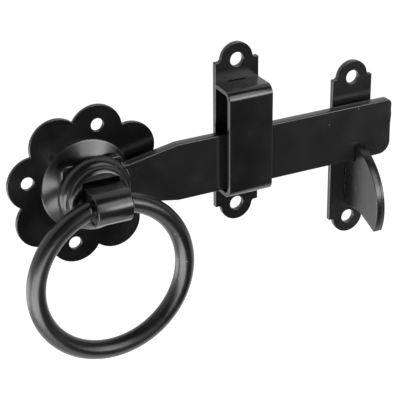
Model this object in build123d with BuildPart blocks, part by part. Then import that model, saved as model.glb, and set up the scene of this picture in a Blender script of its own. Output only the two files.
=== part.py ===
"""Ring-handled gate latch: rose and ring handle, latch bar, guide and catch.

All lengths are in millimetres. The gate and its post have their face in the plane Y = 0 and the latch
stands out of it toward -Y. +X runs along the latch bar, +Z is up, and the origin is the middle of the
rose plate on its back face, on the axis that the handle turns about.
"Out" names a distance from the mounting face, measured toward -Y.
"""
import os
from math import acos, cos, degrees, radians, sin, sqrt

from build123d import *

os.makedirs("parts", exist_ok=True)

# Clearances
fit_gap = 0.05           # round pieces of the handle that are fitted into each other
tab_gap = 0.1            # round a tab or a tenon in its slot
turning_gap = 0.3        # between the turning handle and what stays still
bearing_gap = 0.06       # radial, where the journal turns in the boss
hinge_gap = 0.05         # radial, where the ring swings in its eye
rest_gap = 0.3           # under the bar where it rests in the guide and the catch

# Rose plate: eight lobes of pressed sheet with a raised round boss in the middle
rose_thickness = 2.0
rose_lobe_count = 8
rose_lobe_radius = 14.1
rose_lobe_ring_radius = 28.05
rose_turn = 13.1         # degrees clockwise from upright, seen from the front
rose_screw_count = 4
rose_screw_radius = 3.3
rose_screw_ring_radius = 31.63
boss_base_radius = 23.9
boss_top_radius = 15.5
boss_height = 3.8        # above the front of the plate
boss_base_round = 1.2
boss_rim_round = 1.0

# Latch bar: flat, with a square head, a waist beside it and a taper up to full width
bar_thickness = 5.0
bar_width = 31.0
bar_reach = 174.0        # from the handle's axis to the free end
bar_taper_end = 46.5
bar_waist_width = 19.8
head_width = 33.0
head_height = 32.4
head_corner_round = 3.0
waist_corner_round = 2.5
bar_end_upper_round = 3.0
bar_end_lower_round = 7.0

# Spindle: an eye block in front, a square shank in the bar, a journal and a riveted head behind
shank_width = 10.0
journal_radius = 4.8
eye_block_width = 17.6   # along the ring's hinge
rivet_head_radius = 7.0
rivet_head_out = 0.6
rivet_head_round = 0.8
washer_radius = 10.0
washer_thickness = 1.5

# Cup: a stepped dome of pressed sheet that covers the eye block's root
cup_sheet = 1.6
flange_radius = 19.3
flange_height = 1.3
shoulder_round = 5.6
shoulder_end_angle = 33.0  # between the end of the round and straight out
groove_depth = 0.3
dome_radius = 16.3
dome_height = 9.8
dome_round = 3.2
crown_rise = 0.5

# Knuckle strap: folded over the eye, its two feet turned outward under the cup
hinge_out = 29.9         # the axis that the ring swings about
knuckle_radius = 8.6
knuckle_width = 18.6
knuckle_sheet = 1.6
knuckle_foot_reach = 13.5
knuckle_foot_round = 1.0
knuckle_slot_gap = 0.4   # beside the strap
knuckle_slot_relief = 1.8  # above and below the strap

# Ring
ring_radius = 40.1       # to the middle of the rod
ring_rod_radius = 4.85
ring_shoulder_x = 10.4   # where the rod ends beside the knuckle
ring_shoulder_round = 0.8
ring_spigot_radius = 3.4
ring_spigot_end_x = 0.4

# Fixing plates of the guide and the catch: upright strips with a round lug at each end
plate_thickness = 2.7
plate_corner_round = 0.6
lug_radius = 9.1
lug_notch_round = 1.5
plate_screw_radius = 3.75

# Guide: the bar lifts inside its strap
guide_x = 84.5
guide_width = 25.0
guide_screw_height = 40.2
strap_sheet = 2.4
strap_out = 18.1
strap_half_height = 29.2
strap_bend_round = 5.0
strap_tab_width = 10.0

# Catch: a fin with a notch for the bar and a hook, whose long round nose lifts the bar as the gate shuts
catch_inset = 20.2       # from the bar's free end back to the middle of the catch
catch_z = -12.2
catch_width = 24.0
catch_screw_height = 40.9
fin_thickness = 5.0
fin_root_length = 28.3
hook_gap = 1.0           # between the front of the bar and the hook
nose_radius = 31.8
nose_centre_out = 3.3
nose_centre_drop = 21.4  # below the floor of the notch
nose_low_angle = 22.5    # degrees below level where the nose ends at the fin's tip
knee_out = 18.0
knee_rise = 0.5          # above the lower end of the root
knee_round = 14.0
fin_tip_round = 1.0
hook_corner_round = 0.8
tenon_length = 16.0
tenon_drop = 15.0        # from the floor of the notch to the middle of the tenon
slot_chamfer = 0.6

# Distances out of the mounting face that follow from the sizes above
boss_out = rose_thickness + boss_height
bar_back = boss_out + turning_gap
bar_front = bar_back + bar_thickness
washer_front = boss_height - turning_gap
washer_back = washer_front - washer_thickness

# Places that follow from the sizes above
catch_x = bar_reach - catch_inset
notch_floor_z = -bar_width / 2 - rest_gap
guide_z = notch_floor_z + strap_half_height - strap_sheet
tenon_z = notch_floor_z - tenon_drop
slot_z = strap_half_height - strap_sheet / 2
ring_centre_z = -sqrt(ring_radius**2 - ring_shoulder_x**2)


def front_plane(out, x=0.0, z=0.0):
    """Plane parallel to the mounting face, drawn as seen from the front: X to the right, Z up."""
    return Plane.XZ.offset(out).shift_origin((x, -out, z))


def side_plane(x=0.0):
    """Plane across the bar: its first coordinate is the distance out and its second is the height."""
    return Plane(origin=(x, 0, 0), x_dir=(0, -1, 0), z_dir=(-1, 0, 0))


def draw_fixing_plate(width, screw_height):
    """Outline of a fixing plate with its rounded corners and its two screw holes."""
    Rectangle(width, 2 * screw_height)
    strip_corners = vertices()
    fillet(strip_corners, plate_corner_round)
    with Locations((0, screw_height), (0, -screw_height)):
        Circle(lug_radius)
    lug_roots = vertices().filter_by(lambda corner: abs(abs(corner.center().X) - lug_radius) < 0.01)
    return lug_roots


def cut_screw_holes(screw_height):
    """Screw hole in the middle of each lug."""
    with Locations((0, screw_height), (0, -screw_height)):
        Circle(plate_screw_radius, mode=Mode.SUBTRACT)


# Rose plate, drawn flat and then raised to the boss
with BuildPart() as rose_plate:
    with BuildSketch(front_plane(0)):
        Circle(rose_lobe_ring_radius)
        with PolarLocations(rose_lobe_ring_radius, rose_lobe_count, start_angle=90 - rose_turn):
            Circle(rose_lobe_radius)
        with PolarLocations(rose_screw_ring_radius, rose_screw_count, start_angle=90 - rose_turn):
            Circle(rose_screw_radius, mode=Mode.SUBTRACT)
    extrude(amount=rose_thickness)
    with BuildSketch(side_plane()):
        with BuildLine():
            Polyline(
                (rose_thickness, 0),
                (rose_thickness, boss_base_radius),
                (boss_out, boss_top_radius),
                (boss_out, 0),
                close=True,
            )
        make_face()
    revolve(axis=Axis.Y)
    # The hollow behind is the same cone, one thickness of sheet further in
    with BuildSketch(side_plane()):
        with BuildLine():
            Polyline(
                (0, 0),
                (0, boss_base_radius),
                (boss_height, boss_top_radius),
                (boss_height, 0),
                close=True,
            )
        make_face()
    revolve(axis=Axis.Y, mode=Mode.SUBTRACT)
    circles = rose_plate.edges().filter_by(GeomType.CIRCLE)
    base_edge = circles.filter_by(lambda edge: abs(edge.radius - boss_base_radius) < 0.01)
    fillet(base_edge.sort_by(Axis.Y)[0], boss_base_round)
    circles = rose_plate.edges().filter_by(GeomType.CIRCLE)
    rim_edge = circles.filter_by(lambda edge: abs(edge.radius - boss_top_radius) < 0.01)
    fillet(rim_edge.sort_by(Axis.Y)[0], boss_rim_round)
    with BuildSketch(front_plane(0)):
        Circle(journal_radius + bearing_gap)
    extrude(amount=boss_out, mode=Mode.SUBTRACT)
rose_plate.part.label = "rose_plate"
export_step(rose_plate.part, "parts/rose_plate.step")

# Latch bar, cut to its outline from flat bar
with BuildPart() as latch_bar:
    with BuildSketch(front_plane(bar_back)):
        with BuildLine():
            Polyline(
                (-head_width / 2, head_height / 2),
                (head_width / 2, head_height / 2),
                (head_width / 2, bar_waist_width / 2),
                (bar_taper_end, bar_width / 2),
                (bar_reach, bar_width / 2),
                (bar_reach, -bar_width / 2),
                (bar_taper_end, -bar_width / 2),
                (head_width / 2, -bar_waist_width / 2),
                (head_width / 2, -head_height / 2),
                (-head_width / 2, -head_height / 2),
                close=True,
            )
        make_face()
        Rectangle(shank_width + 2 * fit_gap, shank_width + 2 * fit_gap, mode=Mode.SUBTRACT)
    extrude(amount=bar_thickness)
    upright_edges = latch_bar.edges().filter_by(Axis.Y)
    head_corners = upright_edges.filter_by(lambda edge: abs(abs(edge.center().Z) - head_height / 2) < 0.01)
    fillet(head_corners, head_corner_round)
    upright_edges = latch_bar.edges().filter_by(Axis.Y)
    waist_corners = upright_edges.filter_by(
        lambda edge: abs(abs(edge.center().Z) - bar_waist_width / 2) < 0.01
    )
    fillet(waist_corners, waist_corner_round)
    end_corners = latch_bar.edges().filter_by(Axis.Y).group_by(Axis.X)[-1].sort_by(Axis.Z)
    fillet(end_corners[-1], bar_end_upper_round)
    end_corners = latch_bar.edges().filter_by(Axis.Y).group_by(Axis.X)[-1].sort_by(Axis.Z)
    fillet(end_corners[0], bar_end_lower_round)
latch_bar.part.label = "latch_bar"
export_step(latch_bar.part, "parts/latch_bar.step")

# Spindle, one forging from the eye to the riveted head
eye_radius = knuckle_radius - knuckle_sheet - fit_gap
with BuildPart() as spindle:
    with BuildSketch(side_plane()):
        with BuildLine():
            Line((hinge_out, -eye_radius), (bar_front, -eye_radius))
            Line((bar_front, -eye_radius), (bar_front, eye_radius))
            Line((bar_front, eye_radius), (hinge_out, eye_radius))
            RadiusArc((hinge_out, eye_radius), (hinge_out, -eye_radius), eye_radius)
        make_face()
        with Locations((hinge_out, 0)):
            Circle(ring_spigot_radius + hinge_gap, mode=Mode.SUBTRACT)
    extrude(amount=eye_block_width / 2, both=True)
    with BuildSketch(front_plane(bar_back)):
        Rectangle(shank_width, shank_width)
    extrude(amount=bar_thickness)
    with BuildSketch(front_plane(rivet_head_out)):
        Circle(journal_radius)
    extrude(amount=bar_back - rivet_head_out)
    with BuildSketch(front_plane(rivet_head_out)):
        Circle(rivet_head_radius)
    extrude(amount=washer_back - rivet_head_out)
    rivet_rim = spindle.edges().filter_by(GeomType.CIRCLE).sort_by(Axis.Y)[-1]
    fillet(rivet_rim, rivet_head_round)
spindle.part.label = "spindle"
export_step(spindle.part, "parts/spindle.step")

# Washer that keeps the spindle in the boss
with BuildPart() as spindle_washer:
    with BuildSketch(front_plane(washer_back)):
        Circle(washer_radius)
        Circle(journal_radius + fit_gap, mode=Mode.SUBTRACT)
    extrude(amount=washer_thickness)
spindle_washer.part.label = "spindle_washer"
export_step(spindle_washer.part, "parts/spindle_washer.step")

# Cup: outer profile from the flange up over the shoulder to the crown, and the inner one back
flange_out = bar_front + flange_height
shoulder_radius = flange_radius - shoulder_round
end_angle = radians(shoulder_end_angle)
ridge_out = flange_out + shoulder_round * cos(end_angle)
ridge_radius = shoulder_radius + shoulder_round * sin(end_angle)
groove_out = ridge_out - groove_depth
dome_inner_radius = dome_radius - cup_sheet
inner_round = shoulder_round - cup_sheet
inner_ridge_out = flange_out + inner_round * cos(end_angle)
inner_ridge_radius = shoulder_radius + inner_round * sin(end_angle)
dome_out = bar_front + dome_height
dome_bend_out = dome_out - dome_round
dome_bend_radius = dome_radius - dome_round
crown_out = dome_out + crown_rise
with BuildPart() as cup:
    with BuildSketch(side_plane()):
        with BuildLine():
            Line((bar_front, flange_radius), (flange_out, flange_radius))
            CenterArc(
                (flange_out, shoulder_radius), shoulder_round, shoulder_end_angle, 90 - shoulder_end_angle
            )
            Line((ridge_out, ridge_radius), (groove_out, dome_radius))
            Line((groove_out, dome_radius), (dome_bend_out, dome_radius))
            CenterArc((dome_bend_out, dome_bend_radius), dome_round, 0, 90)
            Line((dome_out, dome_bend_radius), (crown_out, 0))
            Line((crown_out, 0), (crown_out - cup_sheet, 0))
            Line((crown_out - cup_sheet, 0), (dome_out - cup_sheet, dome_bend_radius))
            CenterArc((dome_bend_out, dome_bend_radius), dome_round - cup_sheet, 0, 90)
            Line((dome_bend_out, dome_inner_radius), (groove_out - cup_sheet, dome_inner_radius))
            Line((groove_out - cup_sheet, dome_inner_radius), (inner_ridge_out, inner_ridge_radius))
            CenterArc(
                (flange_out, shoulder_radius), inner_round, shoulder_end_angle, 90 - shoulder_end_angle
            )
            Line((flange_out, flange_radius - cup_sheet), (bar_front, flange_radius - cup_sheet))
            Line((bar_front, flange_radius - cup_sheet), (bar_front, flange_radius))
        make_face()
    revolve(axis=Axis.Y)
    with BuildSketch(front_plane(ridge_out)):
        Rectangle(knuckle_width + 2 * knuckle_slot_gap, 2 * (knuckle_radius + knuckle_slot_relief))
    extrude(amount=dome_height, mode=Mode.SUBTRACT)
cup.part.label = "cup"
export_step(cup.part, "parts/cup.step")

# Knuckle strap, bent from one strip of sheet
foot_front = bar_front + knuckle_sheet
inner_radius = knuckle_radius - knuckle_sheet
with BuildPart() as knuckle_strap:
    with BuildSketch(side_plane()):
        with BuildLine():
            RadiusArc((hinge_out, knuckle_radius), (hinge_out, -knuckle_radius), knuckle_radius)
            Polyline(
                (hinge_out, -knuckle_radius),
                (foot_front, -knuckle_radius),
                (foot_front, -knuckle_foot_reach),
                (bar_front, -knuckle_foot_reach),
                (bar_front, -inner_radius),
                (hinge_out, -inner_radius),
            )
            RadiusArc((hinge_out, inner_radius), (hinge_out, -inner_radius), inner_radius)
            Polyline(
                (hinge_out, inner_radius),
                (bar_front, inner_radius),
                (bar_front, knuckle_foot_reach),
                (foot_front, knuckle_foot_reach),
                (foot_front, knuckle_radius),
                (hinge_out, knuckle_radius),
            )
        make_face()
    extrude(amount=knuckle_width / 2, both=True)
    foot_bends = knuckle_strap.edges().filter_by(Axis.X).filter_by(
        lambda edge: abs(edge.center().Y + foot_front) < 0.01
        and abs(abs(edge.center().Z) - knuckle_radius) < 0.01
    )
    fillet(foot_bends, knuckle_foot_round)
knuckle_strap.part.label = "knuckle_strap"
export_step(knuckle_strap.part, "parts/knuckle_strap.step")

# Ring, hanging straight down: a round rod bent to a circle, parted at the knuckle
with BuildPart() as ring:
    with BuildSketch(side_plane()):
        with Locations((hinge_out, ring_centre_z - ring_radius)):
            Circle(ring_rod_radius)
    revolve(axis=Axis((0, 0, ring_centre_z), (0, 1, 0)))
    with Locations((0, -hinge_out, 0)):
        Box(2 * ring_shoulder_x, 4 * ring_rod_radius, 4 * ring_rod_radius, mode=Mode.SUBTRACT)
    shoulder_rims = ring.edges().filter_by(
        lambda edge: abs(abs(edge.center().X) - ring_shoulder_x) < 0.01
    )
    fillet(shoulder_rims, ring_shoulder_round)
    for side in (-1, 1):
        with BuildSketch(Plane.YZ.offset(side * ring_spigot_end_x)):
            with Locations((-hinge_out, 0)):
                Circle(ring_spigot_radius)
        extrude(amount=side * (ring_shoulder_x + ring_shoulder_round - ring_spigot_end_x))
ring.part.label = "ring"
export_step(ring.part, "parts/ring.step")

# Guide plate with two slots for the strap's tabs
with BuildPart() as guide_plate:
    with BuildSketch(front_plane(0, guide_x, guide_z)):
        lug_roots = draw_fixing_plate(guide_width, guide_screw_height)
        fillet(lug_roots, lug_notch_round)
        cut_screw_holes(guide_screw_height)
        with Locations((0, slot_z), (0, -slot_z)):
            Rectangle(strap_tab_width + 2 * tab_gap, strap_sheet + 2 * tab_gap, mode=Mode.SUBTRACT)
    extrude(amount=plate_thickness)
guide_plate.part.label = "guide_plate"
export_step(guide_plate.part, "parts/guide_plate.step")

# Guide strap: a wide U bent from strip, with a tab on the end of each leg
with BuildPart() as guide_strap:
    with BuildSketch(side_plane(guide_x)):
        with BuildLine():
            FilletPolyline(
                (plate_thickness, guide_z + strap_half_height),
                (strap_out, guide_z + strap_half_height),
                (strap_out, guide_z - strap_half_height),
                (plate_thickness, guide_z - strap_half_height),
                radius=strap_bend_round,
            )
            Line(
                (plate_thickness, guide_z - strap_half_height),
                (plate_thickness, guide_z - strap_half_height + strap_sheet),
            )
            FilletPolyline(
                (plate_thickness, guide_z - strap_half_height + strap_sheet),
                (strap_out - strap_sheet, guide_z - strap_half_height + strap_sheet),
                (strap_out - strap_sheet, guide_z + strap_half_height - strap_sheet),
                (plate_thickness, guide_z + strap_half_height - strap_sheet),
                radius=strap_bend_round - strap_sheet,
            )
            Line(
                (plate_thickness, guide_z + strap_half_height - strap_sheet),
                (plate_thickness, guide_z + strap_half_height),
            )
        make_face()
    extrude(amount=guide_width / 2, both=True)
    with BuildSketch(front_plane(0, guide_x, guide_z)):
        with Locations((0, slot_z), (0, -slot_z)):
            Rectangle(strap_tab_width, strap_sheet)
    extrude(amount=plate_thickness)
guide_strap.part.label = "guide_strap"
export_step(guide_strap.part, "parts/guide_strap.step")

# Catch plate with a slot for the fin's tenon, its front edges eased
with BuildPart() as catch_plate:
    with BuildSketch(front_plane(0, catch_x, catch_z)):
        lug_roots = draw_fixing_plate(catch_width, catch_screw_height)
        fillet(lug_roots, lug_notch_round)
        cut_screw_holes(catch_screw_height)
    extrude(amount=plate_thickness)
    with BuildSketch(front_plane(0, catch_x, tenon_z)):
        Rectangle(fin_thickness + 2 * tab_gap, tenon_length + 2 * tab_gap)
    extrude(amount=plate_thickness, mode=Mode.SUBTRACT)
    slot_rim = catch_plate.faces().sort_by(Axis.Y)[0].inner_wires().sort_by(
        lambda wire: abs(wire.center().Z - tenon_z)
    )[0]
    chamfer(slot_rim.edges(), slot_chamfer)
catch_plate.part.label = "catch_plate"
export_step(catch_plate.part, "parts/catch_plate.step")

# Catch fin: notch and hook above, then the nose in one arc down to the tip, and back along the lower edge
hook_out = bar_front + hook_gap
nose_centre_z = notch_floor_z - nose_centre_drop
nose_high_angle = degrees(acos((hook_out - nose_centre_out) / nose_radius))
hook_top_z = nose_centre_z + nose_radius * sin(radians(nose_high_angle))
tip_out = nose_centre_out + nose_radius * cos(radians(nose_low_angle))
tip_z = nose_centre_z - nose_radius * sin(radians(nose_low_angle))
root_low_z = notch_floor_z - fin_root_length
with BuildPart() as catch_fin:
    with BuildSketch(side_plane(catch_x)):
        with BuildLine():
            Polyline(
                (tip_out, tip_z),
                (knee_out, root_low_z + knee_rise),
                (plate_thickness, root_low_z),
                (plate_thickness, notch_floor_z),
                (hook_out, notch_floor_z),
                (hook_out, hook_top_z),
            )
            CenterArc(
                (nose_centre_out, nose_centre_z),
                nose_radius,
                -nose_low_angle,
                nose_high_angle + nose_low_angle,
            )
        make_face()
    extrude(amount=fin_thickness / 2, both=True)
    cross_edges = catch_fin.edges().filter_by(Axis.X)
    fillet(cross_edges.sort_by(Axis.Z)[-1], hook_corner_round)
    cross_edges = catch_fin.edges().filter_by(Axis.X)
    fillet(cross_edges.sort_by(Axis.Z)[0], fin_tip_round)
    cross_edges = catch_fin.edges().filter_by(Axis.X)
    knee = cross_edges.filter_by(lambda edge: abs(edge.center().Y + knee_out) < 0.01)
    fillet(knee, knee_round)
    with BuildSketch(front_plane(0, catch_x, tenon_z)):
        Rectangle(fin_thickness, tenon_length)
    extrude(amount=plate_thickness)
catch_fin.part.label = "catch_fin"
export_step(catch_fin.part, "parts/catch_fin.step")
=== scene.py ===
# %% [markdown]
# A ring gate latch in black powder coat. The real latch is made from strip, sheet and rod: a pressed rose and
# a ring on the gate, a flat bar that the ring lifts, a strap that guides the bar, and a finned catch on the post.
# The imported parts already have the right places and sizes. This file gives them what a machine drawing leaves
# out: edges that the paint has rounded, the soft folds of pressed sheet, and a coat that looks like paint.
# First the parts are loaded and kept, so that each dressed piece can be held to the size of its part.

import bpy
import numpy as np
from mathutils import Matrix, Vector
from mathutils.geometry import tessellate_polygon


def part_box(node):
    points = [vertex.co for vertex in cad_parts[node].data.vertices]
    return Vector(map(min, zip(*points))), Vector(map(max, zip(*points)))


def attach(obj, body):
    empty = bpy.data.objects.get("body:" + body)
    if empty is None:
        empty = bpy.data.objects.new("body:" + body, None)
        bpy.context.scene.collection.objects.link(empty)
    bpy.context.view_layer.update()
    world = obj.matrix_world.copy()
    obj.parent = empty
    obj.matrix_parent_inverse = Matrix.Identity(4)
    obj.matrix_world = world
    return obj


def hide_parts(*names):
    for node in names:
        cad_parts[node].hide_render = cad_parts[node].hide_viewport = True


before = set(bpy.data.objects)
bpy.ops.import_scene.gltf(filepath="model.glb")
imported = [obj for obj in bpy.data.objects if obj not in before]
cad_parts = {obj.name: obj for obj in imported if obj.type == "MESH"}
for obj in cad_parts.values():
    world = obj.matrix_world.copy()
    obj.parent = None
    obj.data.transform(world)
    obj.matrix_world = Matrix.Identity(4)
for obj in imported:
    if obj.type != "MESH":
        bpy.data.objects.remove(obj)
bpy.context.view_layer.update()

print("parts:", ", ".join(sorted(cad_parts)))

# %% [markdown]
# Shapes are worked out in millimetres and turned to metres at the very end. Two small frames are enough for all of
# them. In the front frame a point is (x along the bar, height, distance out from the gate). In the side frame it
# is (distance out, height, distance to the left), which suits pieces that are bent from strip: their section is
# drawn there and carried along the bar's direction. Both frames are right-handed, so an outline that runs
# anticlockwise encloses metal, and its faces point outwards.

# %% Two frames and the unit
MM = 0.001


def front_frame(points):
    """A point (x, height, out) goes to (x, -out, height) in the shared frame."""
    return np.stack([points[..., 0], -points[..., 2], points[..., 1]], -1)


def side_frame(points):
    """A point (out, height, left) goes to (-left, -out, height) in the shared frame."""
    return np.stack([-points[..., 2], -points[..., 0], points[..., 1]], -1)


def box_mm(node):
    """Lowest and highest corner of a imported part, in millimetres, as (x, y, z)."""
    low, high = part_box(node)
    return np.array(low) / MM, np.array(high) / MM


# %% [markdown]
# Cut strip has outlines of straight runs and arcs. Typing in the points of an arc would freeze its size, so an
# outline is a short list of corners, each with the radius of its arc, and a function works out the points. The
# same function draws the folds of the straps and the profile of the pressed cup, because a bend is an arc too.

# %% Outlines with round corners
def rounded(corners, steps=12):
    """Outline through corners (a, b, radius), each replaced by an arc.

    The arc's ends lie on the two edges at radius / tan(half the corner's angle) from the corner, and its centre
    lies on the bisector at radius / sin(half the angle). Its points turn evenly from one end to the other.
    """
    corners = np.asarray(corners, float)
    points = corners[:, :2]
    outline = []
    for before, corner, after, radius in zip(np.roll(points, 1, 0), points, np.roll(points, -1, 0), corners[:, 2]):
        if radius == 0:
            outline.append(corner[None])
            continue
        to_before = (before - corner) / np.linalg.norm(before - corner)
        to_after = (after - corner) / np.linalg.norm(after - corner)
        half = np.arccos(np.clip(to_before @ to_after, -1, 1)) / 2
        bisector = (to_before + to_after) / np.linalg.norm(to_before + to_after)
        centre = corner + bisector * radius / np.sin(half)
        start = corner + to_before * radius / np.tan(half) - centre
        end = corner + to_after * radius / np.tan(half) - centre
        turn = np.arctan2(start[0] * end[1] - start[1] * end[0], start @ end)
        angle = np.arctan2(start[1], start[0]) + turn * np.linspace(0, 1, steps + 1)
        outline.append(centre + radius * np.stack([np.cos(angle), np.sin(angle)], 1))
    return np.vstack(outline)


def circle(centre, radius, count=48):
    """Anticlockwise circle: centre plus radius times (cos, sin) of an evenly turning angle."""
    angle = np.linspace(0, 2 * np.pi, count, endpoint=False)
    return np.asarray(centre) + radius * np.stack([np.cos(angle), np.sin(angle)], 1)


def inset(loop, distance):
    """Loop moved into the metal on its left: each point goes along the bisector of its two edges' normals, by
    distance / cos(half the turn between them), which keeps the new edges that distance from the old ones."""
    edge = np.roll(loop, -1, 0) - loop
    normal = np.stack([-edge[:, 1], edge[:, 0]], 1) / np.linalg.norm(edge, axis=1)[:, None]
    bisector = normal + np.roll(normal, 1, 0)
    bisector /= np.linalg.norm(bisector, axis=1)[:, None]
    stretch = 1 / np.sum(bisector * normal, axis=1)[:, None]
    return loop + bisector * stretch * distance


# %% [markdown]
# Paint can't hold a sharp edge: it draws back and leaves a rounding of a few tenths of a millimetre, and that thin
# round is what catches the light along every rim in the photograph. A bevel modifier could add it, but it has to
# guess at the long thin triangles of a flat face. Here the rim is part of the surface: each outline is carried
# round a small profile, and the flats are filled in between the innermost copies of the outlines. One more copy
# just inside the rounding keeps the shading of the flats flat.

# %% Surfaces from grids and outlines
def grid_faces(rows, columns, first=0, wrap_rows=False):
    """Quads of a grid of points that closes along its columns, and along its rows too if wrap_rows is set."""
    row = np.arange(rows if wrap_rows else rows - 1)[:, None]
    column = np.arange(columns)[None, :]
    here, beside = row * columns + column, row * columns + (column + 1) % columns
    above = (row + 1) % rows * columns + column
    across = (row + 1) % rows * columns + (column + 1) % columns
    return (first + np.stack([here, beside, across, above], -1)).reshape(-1, 4).tolist()


SLIVER = 1e-9            # a triangle is dropped if twice its area, in square millimetres, is less


def fill(loops, first, facing):
    """Triangles between loops of points: the first loop outside, the others holes. first[k] is the number of
    the first point of loop k, and facing is +1 or -1 for the way that the triangles look along the third axis."""
    points = np.vstack(loops)
    number = np.concatenate([start + np.arange(len(loop)) for start, loop in zip(first, loops)])
    in_space = [np.pad(loop, ((0, 0), (0, 1))).tolist() for loop in loops]      # with 0 as the third coordinate
    triangles = np.array(tessellate_polygon(in_space))
    p, q, r = (points[triangles[:, k]] for k in range(3))
    twice_area = (q - p)[:, 0] * (r - p)[:, 1] - (q - p)[:, 1] * (r - p)[:, 0]
    whole = np.abs(twice_area) > SLIVER
    triangles = triangles[whole]
    wrong = np.sign(twice_area[whole]) != facing
    triangles[wrong] = triangles[wrong][:, ::-1]
    return number[triangles].tolist()


RIM_STEPS = 4            # faces across a rounded rim
RIM_SUPPORT = 0.12       # width of the flat ring inside a rounded rim


def slab(outlines, low, high, ease):
    """Closed surface of metal between two flats, low and high on the third axis.

    Each outline is carried up a profile: at angle t of the lower rounding it is inset by ease * (1 - sin t) and
    lies ease * (1 - cos t) above the flat, and the upper rounding is the mirror image. An outline given as a
    pair of loops, for the low and the high flat, gets no side: another surface joins the flats there.
    """
    t = np.linspace(0, np.pi / 2, RIM_STEPS + 1)
    shrink = np.concatenate([[ease + RIM_SUPPORT], ease * (1 - np.sin(t))])
    rise = np.concatenate([[0.0], ease * (1 - np.cos(t))])
    shrink = np.concatenate([shrink, shrink[::-1]])
    level = np.concatenate([low + rise, high - rise[::-1]])
    points, faces, low_loops, high_loops, low_first, high_first = [], [], [], [], [], []
    count = 0
    for outline in outlines:
        is_open = isinstance(outline, tuple)
        rows = list(outline) if is_open else [inset(outline, distance) for distance in shrink]
        heights = [low, high] if is_open else level
        size = len(rows[0])
        for row, height in zip(rows, heights):
            points.append(np.column_stack([row, np.full(size, height)]))
        if not is_open:
            faces += grid_faces(len(rows), size, count)
        low_loops.append(rows[0])
        high_loops.append(rows[-1])
        low_first.append(count)
        high_first.append(count + (len(rows) - 1) * size)
        count += len(rows) * size
    faces += fill(low_loops, low_first, -1) + fill(high_loops, high_first, 1)
    return np.vstack(points), faces


def joined(*surfaces):
    """Points and faces of several surfaces as one. Points that lie on each other to a micron become one point, so
    the seam between two surfaces closes."""
    points = np.vstack([some_points for some_points, _ in surfaces])
    first = np.cumsum([0] + [len(some_points) for some_points, _ in surfaces])
    _, kept, number = np.unique(np.round(points, 3), axis=0, return_index=True, return_inverse=True)
    number = number.ravel()
    faces = [number[np.array(face) + start].tolist()
             for start, (_, some_faces) in zip(first, surfaces) for face in some_faces]
    return points[kept], faces


SHARP_ANGLE = np.radians(40)    # faces that meet at more than this are shaded apart, and a rim's steps are less


def make_piece(node, surface, place, material, body):
    """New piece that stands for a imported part: its mesh lies in the part's own place, and it rides on a body."""
    points, faces = surface
    points = place(points)
    mesh = bpy.data.meshes.new(node + "_dressed")
    mesh.from_pydata(points * MM, [], faces)
    mesh.shade_smooth()
    mesh.set_sharp_from_angle(angle=SHARP_ANGLE)
    mesh.materials.append(material)
    piece = bpy.data.objects.new(node + "_dressed", mesh)
    bpy.context.scene.collection.objects.link(piece)
    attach(piece, body)
    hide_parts(node)
    low, high = box_mm(node)
    past = np.round([low - points.min(0), points.max(0) - high], 2).tolist()
    print(f"{node}: {len(faces)} faces, past the part by {past} mm")


# %% [markdown]
# Powder coat is sprayed on as a dry polyester powder and baked until it flows. It flows almost flat, but not
# quite: its skin waves gently, like orange peel, a millimetre or two from crest to crest, and the gloss is satin
# because the resin is filled. Its IOR is near 1.5, it isn't a metal, and its roughness is about 0.25, found by how
# soft the edges of the highlights are. Black hides its own colour, so nearly all that shows is what it mirrors,
# and the peel, a faint haze and a few grains of dust are what make it read as paint. The coat is thinner than the
# lines that a saw or a shear leaves on a cut edge, so these show through it. All patterns read Object
# coordinates, which don't slide on any piece.

# %% Colours and a way to add nodes
def from_hex(text):
    """sRGB hex colour as linear red, green, blue and alpha: each channel c becomes c / 12.92 below 0.04045, and
    ((c + 0.055) / 1.055) to the power 2.4 above it."""
    c = np.array([int(text[k:k + 2], 16) for k in (1, 3, 5)]) / 255
    return (*np.where(c <= 0.04045, c / 12.92, ((c + 0.055) / 1.055) ** 2.4).tolist(), 1.0)


def add_node(tree, kind, settings=None, values=None, links=None):
    """Node of a kind with its settings, the values of its inputs, and the links that run into its inputs."""
    node = tree.nodes.new(kind)
    for name, value in (settings or {}).items():
        setattr(node, name, value)
    for name, value in (values or {}).items():
        node.inputs[name].default_value = value
    for name, source in (links or {}).items():
        tree.links.new(source, node.inputs[name])
    return node


def new_material(name):
    """Empty node material with its output, as (material, tree, output)."""
    material = bpy.data.materials.new(name)
    material.use_nodes = True
    material.node_tree.nodes.clear()
    return material, material.node_tree, add_node(material.node_tree, "ShaderNodeOutputMaterial")


# %% Satin black powder coat
PEEL_MM = 2.2            # crest to crest of the orange peel, drawn a little coarse so that it shows
GRAIN_MM = 0.45          # the coat's fine grain
HAZE_MM = 14.0           # patches where the gloss is a little lower
DUST_MM = 3.0            # mean distance between grains of dust
DUST_SIZE = 0.09         # radius of the largest grain, as a share of that distance
LINE_MM = 1.2            # across the lines that sawing and shearing leave on a cut edge
LINE_LENGTH_MM = 25.0    # along them
GRAIN_SHARE = 1 / 8      # the grain's height as a share of the peel's
NOISE_LOW, NOISE_HIGH = 0.3, 0.7    # a noise hardly leaves this span
DUST_GREY = "#8A8A86"


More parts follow.
